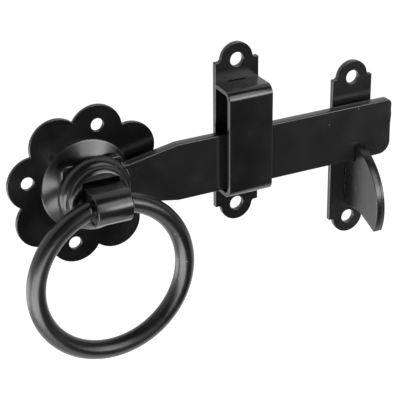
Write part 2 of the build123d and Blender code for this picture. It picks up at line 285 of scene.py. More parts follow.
def powder_coat(name, colour, roughness, haze, peel_height_mm, dust, sheet_axis=None, line_height_mm=0.06):
    """Black polyester powder: haze varies its roughness, peel and grain bump it, and dust lightens single spots.

    sheet_axis names the axis through the sheet's thickness. A noise that changes fast along that axis and slowly
    along the others draws lines on the cut edges and leaves the flats alone.
    """
    material, tree, output = new_material(name)
    place = add_node(tree, "ShaderNodeTexCoord").outputs["Object"]
    patches = add_node(tree, "ShaderNodeTexNoise",
                       values={"Scale": 1 / (HAZE_MM * MM), "Detail": 3.0, "Roughness": 0.6},
                       links={"Vector": place})
    gloss = add_node(tree, "ShaderNodeMapRange",
                     values={"From Min": NOISE_LOW, "From Max": NOISE_HIGH,
                             "To Min": roughness - haze, "To Max": roughness + haze},
                     links={"Value": patches.outputs["Fac"]})
    cells = add_node(tree, "ShaderNodeTexVoronoi", values={"Scale": 1 / (DUST_MM * MM), "Randomness": 1.0},
                     links={"Vector": place})
    size = add_node(tree, "ShaderNodeSeparateColor", links={"Color": cells.outputs["Color"]})
    radius = add_node(tree, "ShaderNodeMapRange", values={"From Min": 1 - dust, "To Max": DUST_SIZE},
                      links={"Value": size.outputs["Red"]})
    speck = add_node(tree, "ShaderNodeMath", {"operation": "LESS_THAN"},
                     links={0: cells.outputs["Distance"], 1: radius.outputs["Result"]})
    tint = add_node(tree, "ShaderNodeMix", {"data_type": "RGBA"}, {6: from_hex(colour), 7: from_hex(DUST_GREY)},
                    {0: speck.outputs["Value"]})
    peel = add_node(tree, "ShaderNodeTexNoise", values={"Scale": 1 / (PEEL_MM * MM), "Detail": 1.0},
                    links={"Vector": place})
    bump = add_node(tree, "ShaderNodeBump", values={"Strength": 1.0, "Distance": peel_height_mm * MM},
                    links={"Height": peel.outputs["Fac"]})
    if sheet_axis:
        scales = [1 / (LINE_LENGTH_MM * MM)] * 3
        scales["XYZ".index(sheet_axis)] = 1 / (LINE_MM * MM)
        along = add_node(tree, "ShaderNodeMapping", values={"Scale": scales}, links={"Vector": place})
        lines = add_node(tree, "ShaderNodeTexNoise", values={"Scale": 1.0, "Detail": 2.0},
                         links={"Vector": along.outputs["Vector"]})
        bump = add_node(tree, "ShaderNodeBump", values={"Strength": 1.0, "Distance": line_height_mm * MM},
                        links={"Height": lines.outputs["Fac"], "Normal": bump.outputs["Normal"]})
    grain = add_node(tree, "ShaderNodeTexNoise", values={"Scale": 1 / (GRAIN_MM * MM), "Detail": 2.0},
                     links={"Vector": place})
    bump = add_node(tree, "ShaderNodeBump", values={"Strength": 1.0, "Distance": peel_height_mm * GRAIN_SHARE * MM},
                    links={"Height": grain.outputs["Fac"], "Normal": bump.outputs["Normal"]})
    shader = add_node(tree, "ShaderNodeBsdfPrincipled", values={"IOR": 1.5, "Metallic": 0.0},
                      links={"Base Color": tint.outputs[2], "Roughness": gloss.outputs["Result"],
                             "Normal": bump.outputs["Normal"]})
    tree.links.new(shader.outputs["BSDF"], output.inputs["Surface"])
    return material


COAT_BLACK = "#0A0A0B"
ROSE_BLACK_PAINTED_SHADE = "#040405"   # painted shade: the rose's copy of the coat is darker, to darken how it looks
BAR_AND_CATCH_BLACK_PAINTED_LIGHT = "#121213"   # painted light: the bar's and the catch's copy of the coat is lighter and a little greyer
ON_STRIP = dict(roughness=0.24, haze=0.04, peel_height_mm=0.030, dust=0.16, sheet_axis="Y")
coat_on_plate = powder_coat("satin_powder_coat_on_strip_plate", COAT_BLACK, **ON_STRIP)
# The catch's coat is the lighter copy of the black: painted light.
coat_on_catch = powder_coat("satin_powder_coat_on_strip_with_painted_light", BAR_AND_CATCH_BLACK_PAINTED_LIGHT, **ON_STRIP)
coat_on_fin = powder_coat("satin_powder_coat_on_sawn_fin", COAT_BLACK, roughness=0.27, haze=0.03,
                          peel_height_mm=0.020, dust=0.12, sheet_axis="X", line_height_mm=0.30)
coat_on_strap = powder_coat("satin_powder_coat_on_bent_strip", COAT_BLACK, roughness=0.24, haze=0.04,
                            peel_height_mm=0.024, dust=0.22)
coat_on_sheet = powder_coat("satin_powder_coat_on_pressed_sheet", COAT_BLACK, roughness=0.25, haze=0.04,
                            peel_height_mm=0.024, dust=0.12)
# The rose's coat is the darker copy of the black: painted shade.
coat_on_rose = powder_coat("satin_powder_coat_on_pressed_sheet_with_painted_shade", ROSE_BLACK_PAINTED_SHADE, roughness=0.24, haze=0.04,
                           peel_height_mm=0.024, dust=0.12)
coat_on_rod = powder_coat("satin_powder_coat_on_bent_rod", COAT_BLACK, roughness=0.30, haze=0.05,
                          peel_height_mm=0.030, dust=0.16)


# %% [markdown]
# The washer behind the boss is hidden in use. It is an ordinary zinc-plated washer: bright zinc is a metal, pale
# and slightly blue, with a cloudy grain where the crystals of the plating turn the light.

# %% Zinc plate
CRYSTAL_MM = 1.2
ZINC_BRIGHT, ZINC_DULL = 0.25, 0.45     # roughness of the brightest and the dullest crystals


def zinc_plate(name, colour):
    """Plated steel: a metal whose roughness follows a cloudy noise of crystals about a millimetre across."""
    material, tree, output = new_material(name)
    place = add_node(tree, "ShaderNodeTexCoord").outputs["Object"]
    crystals = add_node(tree, "ShaderNodeTexNoise", values={"Scale": 1 / (CRYSTAL_MM * MM), "Detail": 4.0},
                        links={"Vector": place})
    gloss = add_node(tree, "ShaderNodeMapRange", values={"To Min": ZINC_BRIGHT, "To Max": ZINC_DULL},
                     links={"Value": crystals.outputs["Fac"]})
    bump = add_node(tree, "ShaderNodeBump", values={"Strength": 0.4, "Distance": 0.01 * MM},
                    links={"Height": crystals.outputs["Fac"]})
    shader = add_node(tree, "ShaderNodeBsdfPrincipled", values={"Metallic": 1.0, "Base Color": from_hex(colour)},
                      links={"Roughness": gloss.outputs["Result"], "Normal": bump.outputs["Normal"]})
    tree.links.new(shader.outputs["BSDF"], output.inputs["Surface"])
    return material


zinc = zinc_plate("bright_zinc_plate", "#B9BDC2")


def paint(node, material):
    """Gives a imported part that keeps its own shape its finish."""
    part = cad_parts[node]
    part.data.materials.clear()
    part.data.materials.append(material)


paint("spindle_washer", zinc)
paint("spindle", coat_on_rod)

# %% [markdown]
# The rose is stamped from 2 mm sheet. Its outline is eight lobes, and a press has raised a cone in the middle. The
# flat is a slab with a round opening that is left open, and the boss is a profile spun about the handle's axis,
# down the outside of the cone and back up its hollow. The two meet on the same circle of points. A press tool
# leaves soft bends, so the foot of the cone has a wide radius and its top a smaller one.

# %% Rose plate
ROSE_THICKNESS = 2.0
LOBES, LOBE_RADIUS, LOBE_RING, ROSE_TURN = 8, 14.1, 28.05, np.radians(13.1)
SCREW_RADIUS, SCREW_RING = 3.3, 31.63
BOSS_BASE, BOSS_TOP, BOSS_HEIGHT, BOSS_MOUTH = 23.9, 15.5, 3.8, 27.0
FOOT_BEND, TOP_BEND = 3.0, 1.0              # of the cone's outside
HOLLOW_FOOT_BEND, HOLLOW_TOP_BEND = 0.5, 1.2
JOURNAL_HOLE, HOLE_EASE = 4.86, 0.3
RIM = 0.35               # rounding that the coat gives a cut edge


def lobed_outline(steps=26):
    """Arcs of equal circles set round a ring. Two neighbours cross on the ray halfway between them, at the distance
    ring * cos(h) + sqrt(lobe^2 - (ring * sin(h))^2) from the middle, where h is half the angle between lobes."""
    half = np.pi / LOBES
    cusp = LOBE_RING * np.cos(half) + np.sqrt(LOBE_RADIUS**2 - (LOBE_RING * np.sin(half)) ** 2)
    reach = np.arctan2(cusp * np.sin(half), cusp * np.cos(half) - LOBE_RING)
    swing = np.linspace(-reach, reach, steps, endpoint=False)
    middle = np.pi / 2 - ROSE_TURN + 2 * half * np.arange(LOBES)
    swing, middle = swing[None, :], middle[:, None]
    a = LOBE_RING * np.cos(middle) + LOBE_RADIUS * np.cos(middle + swing)
    b = LOBE_RING * np.sin(middle) + LOBE_RADIUS * np.sin(middle + swing)
    return np.stack([a.ravel(), b.ravel()], 1)


def spun(profile, count):
    """Profile points (radius, out) spun about the out axis: each becomes the ring (radius cos, radius sin, out)."""
    angle = np.linspace(0, 2 * np.pi, count, endpoint=False)
    radius, out = profile[:, 0, None], profile[:, 1, None]
    points = np.stack([radius * np.cos(angle), radius * np.sin(angle), out + 0 * angle], -1)
    return points.reshape(-1, 3)


ROUND = 144              # points round the boss and the cup
screw_angles = np.pi / 2 - ROSE_TURN + np.pi / 2 * np.arange(4)
screw_places = SCREW_RING * np.stack([np.cos(screw_angles), np.sin(screw_angles)], 1)
mouth = circle((0, 0), BOSS_MOUTH, ROUND)[::-1]
screw_holes = [circle(place, SCREW_RADIUS)[::-1] for place in screw_places]
rose_flat = slab([lobed_outline()] + screw_holes + [(mouth, mouth)], 0.0, ROSE_THICKNESS, RIM)
boss_out = ROSE_THICKNESS + BOSS_HEIGHT
boss_profile = rounded([
    (BOSS_MOUTH, ROSE_THICKNESS, 0), (BOSS_BASE, ROSE_THICKNESS, FOOT_BEND), (BOSS_TOP, boss_out, TOP_BEND),
    (JOURNAL_HOLE, boss_out, HOLE_EASE), (JOURNAL_HOLE, BOSS_HEIGHT, HOLE_EASE),
    (BOSS_TOP, BOSS_HEIGHT, HOLLOW_TOP_BEND), (BOSS_BASE, 0, HOLLOW_FOOT_BEND), (BOSS_MOUTH, 0, 0),
], 8)
boss = spun(boss_profile, ROUND), grid_faces(len(boss_profile), ROUND)
make_piece("rose_plate", joined(rose_flat, boss), front_frame, coat_on_rose, "fixed")


# %% [markdown]
# The two fixing plates are the same shape: a strip with a round lug at each end. Where the lug leaves the strip's
# shoulder the punch leaves a small concave round. That round touches the shoulder line and the lug's circle, so
# its centre is found by Pythagoras. One quarter of the outline is worked out and mirrored three times.

# %% Fixing plates of the guide and the catch
LUG_RADIUS, LUG_ROUND, CORNER_ROUND, PLATE_SCREW = 9.1, 1.5, 0.6, 3.75
SLOT_ROUND, CHAMFER_EASE = 0.3, 0.2
CHAMFER_REACH = 1.5      # the slot's wall runs out onto the flat, to this many chamfers from the slot


def fixing_plate(width, height, steps=10):
    """Outline of a strip with lugs whose centres are at plus and minus height.

    The small round's centre is LUG_ROUND above the shoulder and at the sum of both radii from the lug's centre.
    """
    across = np.sqrt((LUG_RADIUS + LUG_ROUND) ** 2 - LUG_ROUND**2)
    touch = np.arcsin(LUG_ROUND / (LUG_RADIUS + LUG_ROUND))
    corner = np.linspace(0, np.pi / 2, steps)
    small = np.linspace(-np.pi / 2, -np.pi + touch, steps)
    lug = np.linspace(touch, np.pi / 2, 2 * steps)
    arcs = [((width / 2 - CORNER_ROUND, height - CORNER_ROUND), CORNER_ROUND, corner),
            ((across, height + LUG_ROUND), LUG_ROUND, small),
            ((0, height), LUG_RADIUS, lug[1:])]
    quarter = np.vstack([np.array(centre) + radius * np.stack([np.cos(a), np.sin(a)], 1)
                         for centre, radius, a in arcs])
    left = (quarter * [-1, 1])[::-1][1:]
    top = np.vstack([quarter, left])
    bottom = top * [-1, -1]
    return np.vstack([top, bottom])


def plate_surface(node, screw_height, slots, chamfer=0.0):
    """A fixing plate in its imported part's place, with its two screw holes and its slots (height, width, length).

    A chamfered slot has its own wall: its outline widens along the profile (inset, height) of a 45 degree cut.
    """
    low, high = box_mm(node)
    centre = np.array([(low[0] + high[0]) / 2, (low[2] + high[2]) / 2])
    holes = [centre + circle((0, z), PLATE_SCREW)[::-1] for z in (screw_height, -screw_height)]
    thickness = high[1] - low[1]
    cut = rounded([(0, 0, 0), (0, thickness - chamfer, CHAMFER_EASE), (chamfer, thickness, CHAMFER_EASE),
                   (CHAMFER_REACH * chamfer, thickness, 0)], 4)
    walls = []
    for z, slot_width, slot_length in slots:
        side, end = slot_width / 2, slot_length / 2
        corners = [(-side, z - end), (-side, z + end), (side, z + end), (side, z - end)]
        loop = centre + rounded([(*corner, SLOT_ROUND) for corner in corners], 4)
        if not chamfer:
            holes.append(loop)
            continue
        rows = [inset(loop, widening) for widening, _ in cut]
        holes.append((rows[0], rows[-1]))
        wall = np.concatenate([np.column_stack([row, np.full(len(row), out)]) for row, (_, out) in zip(rows, cut)])
        walls.append((wall, grid_faces(len(rows), len(loop))))
    outline = centre + fixing_plate(high[0] - low[0], screw_height)
    return joined(slab([outline] + holes, 0.0, thickness, RIM), *walls)


TAB_GAP = 0.1
STRAP_SHEET, STRAP_TAB, STRAP_HALF, GUIDE_SCREW = 2.4, 10.0, 29.2, 40.2
tab_height = STRAP_HALF - STRAP_SHEET / 2
guide_slots = [(z, STRAP_TAB + 2 * TAB_GAP, STRAP_SHEET + 2 * TAB_GAP) for z in (tab_height, -tab_height)]
guide_surface = plate_surface("guide_plate", GUIDE_SCREW, guide_slots)
make_piece("guide_plate", guide_surface, front_frame, coat_on_plate, "fixed")

FIN_THICKNESS, TENON_LENGTH, CATCH_SCREW, SLOT_CHAMFER = 5.0, 16.0, 40.9, 0.6
NOTCH_FLOOR, TENON_DROP = -15.8, 15.0
catch_low, catch_high = box_mm("catch_plate")
catch_z = (catch_low[2] + catch_high[2]) / 2
tenon_z = NOTCH_FLOOR - TENON_DROP
catch_slots = [(tenon_z - catch_z, FIN_THICKNESS + 2 * TAB_GAP, TENON_LENGTH + 2 * TAB_GAP)]
catch_surface = plate_surface("catch_plate", CATCH_SCREW, catch_slots, SLOT_CHAMFER)
make_piece("catch_plate", catch_surface, front_frame, coat_on_catch, "fixed")

# %% [markdown]
# The guide strap is strip bent twice. Its section is one closed outline in the side frame: the outer corners have
# the bend's outer radius and the inner ones that radius less the sheet. Carried across by its width, it is a slab
# like the others, seen from the side. The tabs that hold it are two small slabs that end flush behind the plate.

# %% Guide strap
STRAP_BEND, STRAP_RIM, TAB_RIM = 5.0, 0.4, 0.15
strap_low, strap_high = box_mm("guide_strap")
plate_front = -box_mm("guide_plate")[0][1]
strap_out = -strap_low[1]
top, bottom = strap_high[2], strap_low[2]
inner = STRAP_BEND - STRAP_SHEET
section = rounded([
    (plate_front, bottom, 0), (strap_out, bottom, STRAP_BEND), (strap_out, top, STRAP_BEND), (plate_front, top, 0),
    (plate_front, top - STRAP_SHEET, 0), (strap_out - STRAP_SHEET, top - STRAP_SHEET, inner),
    (strap_out - STRAP_SHEET, bottom + STRAP_SHEET, inner), (plate_front, bottom + STRAP_SHEET, 0),
], 16)
strap_body = slab([section], -strap_high[0], -strap_low[0], STRAP_RIM)
strap_x, strap_z = (strap_low[0] + strap_high[0]) / 2, (top + bottom) / 2


def block(low, high, ease):
    """Small slab in the side frame between two corners given as (x, out, height)."""
    outline = rounded([(low[1], low[2], 0), (high[1], low[2], 0), (high[1], high[2], 0), (low[1], high[2], 0)])
    return slab([outline], -high[0], -low[0], ease)


tabs = [block((strap_x - STRAP_TAB / 2, 0.0, strap_z + z - STRAP_SHEET / 2),
              (strap_x + STRAP_TAB / 2, plate_front, strap_z + z + STRAP_SHEET / 2), TAB_RIM)
        for z in (tab_height, -tab_height)]
make_piece("guide_strap", joined(strap_body, *tabs), side_frame, coat_on_strap, "fixed")

# %% [markdown]
# The catch's fin is sawn from 5 mm flat. Reading its edge from the notch: the floor that the bar rests on, the
# hook that keeps the bar in, and a nose that is one long arc from the hook down to the tip. As the gate swings
# shut the bar slides up this arc. Two cosines give the arc's ends: the hook's distance out and the tip's angle.

# %% Catch fin
HOOK_OUT, HOOK_ROUND, TIP_ROUND = 12.1, 0.8, 1.0
NOSE_RADIUS, NOSE_OUT, NOSE_DROP, NOSE_LOW = 31.8, 3.3, 21.4, np.radians(22.5)
ROOT_LENGTH, KNEE_OUT, KNEE_RISE, KNEE_ROUND = 28.3, 18.0, 0.5, 14.0
NOTCH_ROUND, FIN_RIM, NOSE_STEPS = 0.4, 0.45, 64
nose_centre = np.array([NOSE_OUT, NOTCH_FLOOR - NOSE_DROP])
nose_high = np.arccos((HOOK_OUT - NOSE_OUT) / NOSE_RADIUS)
swing = np.linspace(-NOSE_LOW, nose_high, NOSE_STEPS)
nose = nose_centre + NOSE_RADIUS * np.stack([np.cos(swing), np.sin(swing)], 1)
root_low = NOTCH_FLOOR - ROOT_LENGTH
fin_outline = rounded([
    (plate_front, root_low, 0), (KNEE_OUT, root_low + KNEE_RISE, KNEE_ROUND), (*nose[0], TIP_ROUND),
    *[(a, b, 0) for a, b in nose[2:-2]], (*nose[-1], HOOK_ROUND), (HOOK_OUT, NOTCH_FLOOR, NOTCH_ROUND),
    (plate_front, NOTCH_FLOOR, 0),
])
fin_low, fin_high = box_mm("catch_fin")
fin_body = slab([fin_outline], -fin_high[0], -fin_low[0], FIN_RIM)
tenon = block((fin_low[0], 0.0, tenon_z - TENON_LENGTH / 2),
              (fin_high[0], plate_front, tenon_z + TENON_LENGTH / 2), TAB_RIM)
make_piece("catch_fin", joined(fin_body, tenon), side_frame, coat_on_fin, "fixed")

# %% [markdown]
# The latch bar is one piece from the square head on the spindle to the free end. Its outline has ten corners, and
# each takes its own radius: tight ones at the head, a hollow one where the waist starts, a soft one at the end of
# the taper, and at the free end a small one above and a large one below. That end has struck the catch for a
# while, so a few shallow corners let it in by less than half a millimetre. Beside the cup are painted glints: small
# light grey specks in the coat's colour that stand for the broken line of light along the cup's foot. They are a
# mask: a narrow ring, cut by a noise, and only on the side where they are. The bar's black is the lighter copy of
# the coat, painted light.

# %% Latch bar
BAR_BACK, BAR_FRONT = 6.1, 11.1
HEAD, HEAD_HALF, WAIST, TAPER_END, BAR_HALF, BAR_REACH = 16.5, 16.2, 9.9, 46.5, 15.5, 174.0
HEAD_ROUND, WAIST_ROUND, END_UPPER, END_LOWER, SHANK = 3.0, 2.5, 3.0, 7.0, 5.05
TAPER_ROUND, BAR_RIM = 4.0, 0.55
END_WEAR = [(-6.0, 0.4, 8.0), (1.0, 0.45, 8.0), (6.5, 0.0, 4.0), (9.5, 0.3, 4.0)]    # (height, depth, round)
bar_outline = rounded([
    (-HEAD, -HEAD_HALF, HEAD_ROUND), (HEAD, -HEAD_HALF, HEAD_ROUND), (HEAD, -WAIST, WAIST_ROUND),
    (TAPER_END, -BAR_HALF, TAPER_ROUND), (BAR_REACH, -BAR_HALF, END_LOWER),
    *[(BAR_REACH - depth, height, radius) for height, depth, radius in END_WEAR],
    (BAR_REACH, BAR_HALF, END_UPPER), (TAPER_END, BAR_HALF, TAPER_ROUND), (HEAD, WAIST, WAIST_ROUND),
    (HEAD, HEAD_HALF, HEAD_ROUND), (-HEAD, HEAD_HALF, HEAD_ROUND),
])
square_hole = np.array([(-SHANK, -SHANK), (-SHANK, SHANK), (SHANK, SHANK), (SHANK, -SHANK)])
bar_surface = slab([bar_outline, square_hole], BAR_BACK, BAR_FRONT, BAR_RIM)
GLINT_RING, GLINT_HALF, GLINT_MM = 19.7, 0.3, 0.9       # radius and half width of the ring of painted glints, and their length
GLINT_TURN, GLINT_REACH = np.radians(15), 18.2         # the painted glints lie further than this along this direction
GLINT_LEVEL = 0.48        # where the noise is above this a painted glint shows
# light grey of the painted glints beside the cup
PAINTED_GLINT_GREY = "#80807E"


def add_painted_glints(material):
    """Adds painted glints to a powder coat: its colour turns to a light grey that stands for glints of light where
    the distance to the ring, |length of (x, z) - ring|, is small, the place's product with the direction is large,
    and a noise is high."""
    tree = material.node_tree
    shader = tree.nodes["Principled BSDF"]
    coat = shader.inputs["Base Color"].links[0].from_socket
    place = add_node(tree, "ShaderNodeTexCoord").outputs["Object"]
    flat = add_node(tree, "ShaderNodeVectorMath", {"operation": "MULTIPLY"}, {1: (1, 0, 1)}, {0: place})
    radius = add_node(tree, "ShaderNodeVectorMath", {"operation": "LENGTH"}, links={0: flat.outputs["Vector"]})
    on_ring = add_node(tree, "ShaderNodeMath", {"operation": "COMPARE"}, {1: GLINT_RING * MM, 2: GLINT_HALF * MM},
                       {0: radius.outputs["Value"]})
    direction = (np.cos(GLINT_TURN), 0, np.sin(GLINT_TURN))
    reach = add_node(tree, "ShaderNodeVectorMath", {"operation": "DOT_PRODUCT"}, {1: direction}, {0: place})
    on_side = add_node(tree, "ShaderNodeMath", {"operation": "GREATER_THAN"}, {1: GLINT_REACH * MM},
                       {0: reach.outputs["Value"]})
    noise = add_node(tree, "ShaderNodeTexNoise", values={"Scale": 1 / (GLINT_MM * MM), "Detail": 1.0},
                     links={"Vector": place})
    lit_speck = add_node(tree, "ShaderNodeMath", {"operation": "GREATER_THAN"}, {1: GLINT_LEVEL}, {0: noise.outputs["Fac"]})
    here = add_node(tree, "ShaderNodeMath", {"operation": "MULTIPLY"},
                    links={0: on_ring.outputs["Value"], 1: on_side.outputs["Value"]})
    glint = add_node(tree, "ShaderNodeMath", {"operation": "MULTIPLY"},
                    links={0: here.outputs["Value"], 1: lit_speck.outputs["Value"]})
    tint = add_node(tree, "ShaderNodeMix", {"data_type": "RGBA"}, {7: from_hex(PAINTED_GLINT_GREY)},
                    {0: glint.outputs["Value"], 6: coat})
    tree.links.new(tint.outputs[2], shader.inputs["Base Color"])
    return material


# The bar's coat is the lighter copy of the black, painted light, with painted glints beside the cup.
coat_on_bar = add_painted_glints(powder_coat("satin_powder_coat_on_strip_with_painted_light_and_glints", BAR_AND_CATCH_BLACK_PAINTED_LIGHT, **ON_STRIP))
make_piece("latch_bar", bar_surface, front_frame, coat_on_bar, "handle")

# %% [markdown]
# The cup is deep-drawn sheet: a broad round shoulder that ends in a shallow groove, and a dome with a rectangular
# slot in its crown. Away from the slot it is a spun profile. Towards the slot every ring of points changes from a
# circle to the slot's rounded rectangle: each point slides inwards along its own ray, and its height is the crown's
# height at that distance from the middle. So the slot's edge lies on the dome, as a cut edge does, and a small lip
# of paint is carried round it.

# %% Cup
CUP_SHEET, DOME, DOME_BEND, DOME_TOP, CROWN = 1.6, 16.3, 3.2, 20.9, 0.5
FLANGE, SHOULDER_BEND, SHOULDER_OUT, SHOULDER_END = 19.3, 5.6, 12.4, np.radians(33)
SLOT_X, SLOT_Z, SLOT_CORNER, SLOT_LIP = 9.7, 10.4, 1.0, 0.35
GROOVE, GROOVE_ROUND, INNER_GROOVE_ROUND = 0.3, 0.4, 0.5        # between the shoulder's ridge and the dome
FOOT_ROUND, INNER_FOOT_ROUND = 0.35, 0.3                        # where the flange stands on the bar
RIDGE_GAP = 0.1          # radians that the shoulder's arc leaves free for the ridge's own round
turns = np.linspace(0, 2 * np.pi, ROUND, endpoint=False)
ray = np.stack([np.cos(turns), np.sin(turns)], 1)


def rounded_box_reach(ray, half_x, half_z, corner):
    """Distance from the middle to a rounded rectangle along each ray: the nearer of its sides at half / |direction|,
    or, where that point lies in a corner, the far crossing with the corner's circle, b + sqrt(b^2 - c^2 + r^2),
    where b is the ray's product with the circle's centre c."""
    along = np.abs(ray)
    centre = np.array([half_x, half_z]) - corner
    side = np.min(np.array([half_x, half_z]) / np.maximum(along, 1e-9), axis=1)
    b = along @ centre
    bend = b + np.sqrt(np.maximum(b**2 - centre @ centre + corner**2, 0))
    in_corner = np.all(bend[:, None] * along > centre, axis=1)
    return np.where(in_corner, bend, side)


slot_reach = rounded_box_reach(ray, SLOT_X, SLOT_Z, SLOT_CORNER)


def dome_height(radius, sheet):
    """Height out of the crown at a radius, sheet below the outer skin: a shallow cone out to the bend, and there
    the bend's quarter circle, sqrt(bend^2 - (radius - bend centre)^2) above its centre."""
    centre, bend = DOME - DOME_BEND, DOME_BEND - sheet
    cone = DOME_TOP - sheet + CROWN * (1 - radius / centre)
    arc = DOME_TOP - DOME_BEND + np.sqrt(np.maximum(bend**2 - (radius - centre) ** 2, 0))
    return np.where(radius < centre, cone, arc)


def crown_rows(sheet, inner, outer, steps):
    """Rings from the radius inner out to outer, closer together towards the bend: share sin(t) of the way."""
    share = np.sin(np.linspace(0, np.pi / 2, steps))[:, None]
    radius = inner[None, :] + (outer - inner[None, :]) * share
    return np.stack([radius * ray[:, 0], radius * ray[:, 1], dome_height(radius, sheet)], -1)


def lip_rows(steps):
    """Quarter circle from the slot's wall out onto the crown."""
    t = np.linspace(np.pi / 2, 0, steps, endpoint=False)[:, None]
    radius = slot_reach[None, :] + SLOT_LIP * (1 - np.sin(t))
    height = dome_height(slot_reach + SLOT_LIP, 0.0)[None, :] - SLOT_LIP * (1 - np.cos(t))
    return np.stack([radius * ray[:, 0], radius * ray[:, 1], height], -1)


def shoulder_arc(bend, first, last, steps):
    """Points (radius, out, 0) of an arc round the shoulder's centre, from one angle off straight out to another."""
    t = np.linspace(first, last, steps)
    centre = FLANGE - SHOULDER_BEND
    return [(centre + bend * np.sin(a), SHOULDER_OUT + bend * np.cos(a), 0) for a in t]


bend_out = DOME_TOP - DOME_BEND
ridge = shoulder_arc(SHOULDER_BEND, SHOULDER_END, SHOULDER_END, 1)[0]
inner_bend, inner_dome = SHOULDER_BEND - CUP_SHEET, DOME - CUP_SHEET
cup_profile = rounded([
    (DOME, bend_out, 0), (DOME, ridge[1] - GROOVE, GROOVE_ROUND), (ridge[0], ridge[1], GROOVE_ROUND),
    *shoulder_arc(SHOULDER_BEND, SHOULDER_END + RIDGE_GAP, np.pi / 2, 14), (FLANGE, BAR_FRONT, FOOT_ROUND),
    (FLANGE - CUP_SHEET, BAR_FRONT, INNER_FOOT_ROUND), *shoulder_arc(inner_bend, np.pi / 2, SHOULDER_END, 8),
    (inner_dome, ridge[1] - GROOVE - CUP_SHEET, INNER_GROOVE_ROUND), (inner_dome, bend_out, 0),
], 8)
side_rows = spun(cup_profile[1:-1], ROUND).reshape(-1, ROUND, 3)
cup_rows = np.concatenate([
    lip_rows(steps=5), crown_rows(0.0, slot_reach + SLOT_LIP, DOME, steps=18), side_rows,
    crown_rows(CUP_SHEET, slot_reach, inner_dome, steps=12)[::-1],
])
cup_surface = cup_rows.reshape(-1, 3), [face[::-1] for face in grid_faces(len(cup_rows), ROUND, 0, True)]
make_piece("cup", cup_surface, front_frame, coat_on_sheet, "handle")

# %% [markdown]
# The knuckle strap is folded over the eye that holds the ring, and its two feet are turned out under the cup. In
# the side frame the fold is a half circle: two corners whose radius is half the distance between them give
# exactly that.

# %% Knuckle strap
HINGE_OUT, KNUCKLE, KNUCKLE_SHEET = 29.9, 8.6, 1.6
FOOT_REACH, FOOT_FOLD, KNUCKLE_RIM = 13.5, 1.0, 0.4
outer_end, inner_end = HINGE_OUT + KNUCKLE, HINGE_OUT + KNUCKLE - KNUCKLE_SHEET
inside, foot_front = KNUCKLE - KNUCKLE_SHEET, BAR_FRONT + KNUCKLE_SHEET
knuckle_section = rounded([
    (outer_end, -KNUCKLE, KNUCKLE), (outer_end, KNUCKLE, KNUCKLE), (foot_front, KNUCKLE, FOOT_FOLD),
    (foot_front, FOOT_REACH, 0), (BAR_FRONT, FOOT_REACH, 0), (BAR_FRONT, inside, 0),
    (inner_end, inside, inside), (inner_end, -inside, inside), (BAR_FRONT, -inside, 0),
    (BAR_FRONT, -FOOT_REACH, 0), (foot_front, -FOOT_REACH, 0), (foot_front, -KNUCKLE, FOOT_FOLD),
], 24)
step = np.linalg.norm(knuckle_section - np.roll(knuckle_section, 1, 0), axis=1)
SAME_POINT = 1e-6        # the fold's two quarter circles share a point, which is kept once
knuckle_section = knuckle_section[step > SAME_POINT]
knuckle_low, knuckle_high = box_mm("knuckle_strap")
knuckle_surface = slab([knuckle_section], -knuckle_high[0], -knuckle_low[0], KNUCKLE_RIM)
make_piece("knuckle_strap", knuckle_surface, side_frame, coat_on_sheet, "handle")

# %% [markdown]
# The ring is rod bent to a circle that isn't closed: its two ends are cut square to the knuckle and carry thin
# spigots that turn in the eye. A torus grid has two angles, round the ring and round the rod. The ring's angle
# runs, for each line of points along the rod, from where that line meets the one cut to where it meets the
# other, so the end is flat with no cutting. Then come the rounded rim, the flat shoulder and the spigot.

# %% Ring
RING, ROD, SHOULDER, SHOULDER_ROUND, SPIGOT, SPIGOT_END = 40.1, 4.85, 10.4, 0.8, 3.4, 0.4
SPIGOT_ROOT, SPIGOT_EASE, POLE = 0.1, 0.3, 0.01
RING_STEPS, ROD_STEPS = 220, 56
ring_centre = -np.sqrt(RING**2 - SHOULDER**2)


def ring_rows():
    """Rings of points along the rod, as (x, out, height).

    A line of points at angle b round the rod lies RING + r cos b from the ring's middle, and meets the plane
    x = c where the sine of the ring's angle is c / that distance. Towards an end r shrinks from the rod's radius
    by the rim's rounding while c goes from shoulder + rounding to the shoulder.
    """
    b = np.linspace(0, 2 * np.pi, ROD_STEPS, endpoint=False)
    t = np.linspace(0, np.pi / 2, 7)[1:]

    def row(r, cut, along=0.0):
        """Points round the rod, at the share along of the way from the plane x = cut round to its mirror image."""
        distance = RING + r * np.cos(b)
        start = np.arcsin(cut / distance)
        angle = start + (2 * np.pi - 2 * start) * along
        height = ring_centre + distance * np.cos(angle)
        return np.stack([distance * np.sin(angle), HINGE_OUT + r * np.sin(b), height], -1)

    body = [row(ROD, SHOULDER + SHOULDER_ROUND, s) for s in np.linspace(0, 1, RING_STEPS)]
    rim = [row(ROD - SHOULDER_ROUND * (1 - np.cos(a)), SHOULDER + SHOULDER_ROUND * (1 - np.sin(a)))
           for a in t]
    pin = [np.stack([np.full(ROD_STEPS, x), HINGE_OUT + r * np.sin(b), r * np.cos(b)], -1)
           for x, r in [(SHOULDER, SPIGOT + SPIGOT_ROOT), (SHOULDER - SPIGOT_ROOT, SPIGOT),
                        (SPIGOT_END + SPIGOT_EASE, SPIGOT), (SPIGOT_END, SPIGOT - SPIGOT_EASE),
                        (SPIGOT_END, POLE)]]
    end = rim + pin
    mirrored = [rows * [-1, 1, 1] for rows in end]
    return np.array(end[::-1] + body + mirrored)


rows = ring_rows()
ring_points = rows.reshape(-1, 3)[:, [0, 2, 1]]
numbers = np.arange(len(ring_points)).reshape(-1, ROD_STEPS)
end_faces = [numbers[0, ::-1].tolist(), numbers[-1].tolist()]
ring_faces = grid_faces(len(rows), ROD_STEPS) + end_faces
make_piece("ring", (ring_points, ring_faces), front_frame, coat_on_rod, "ring")

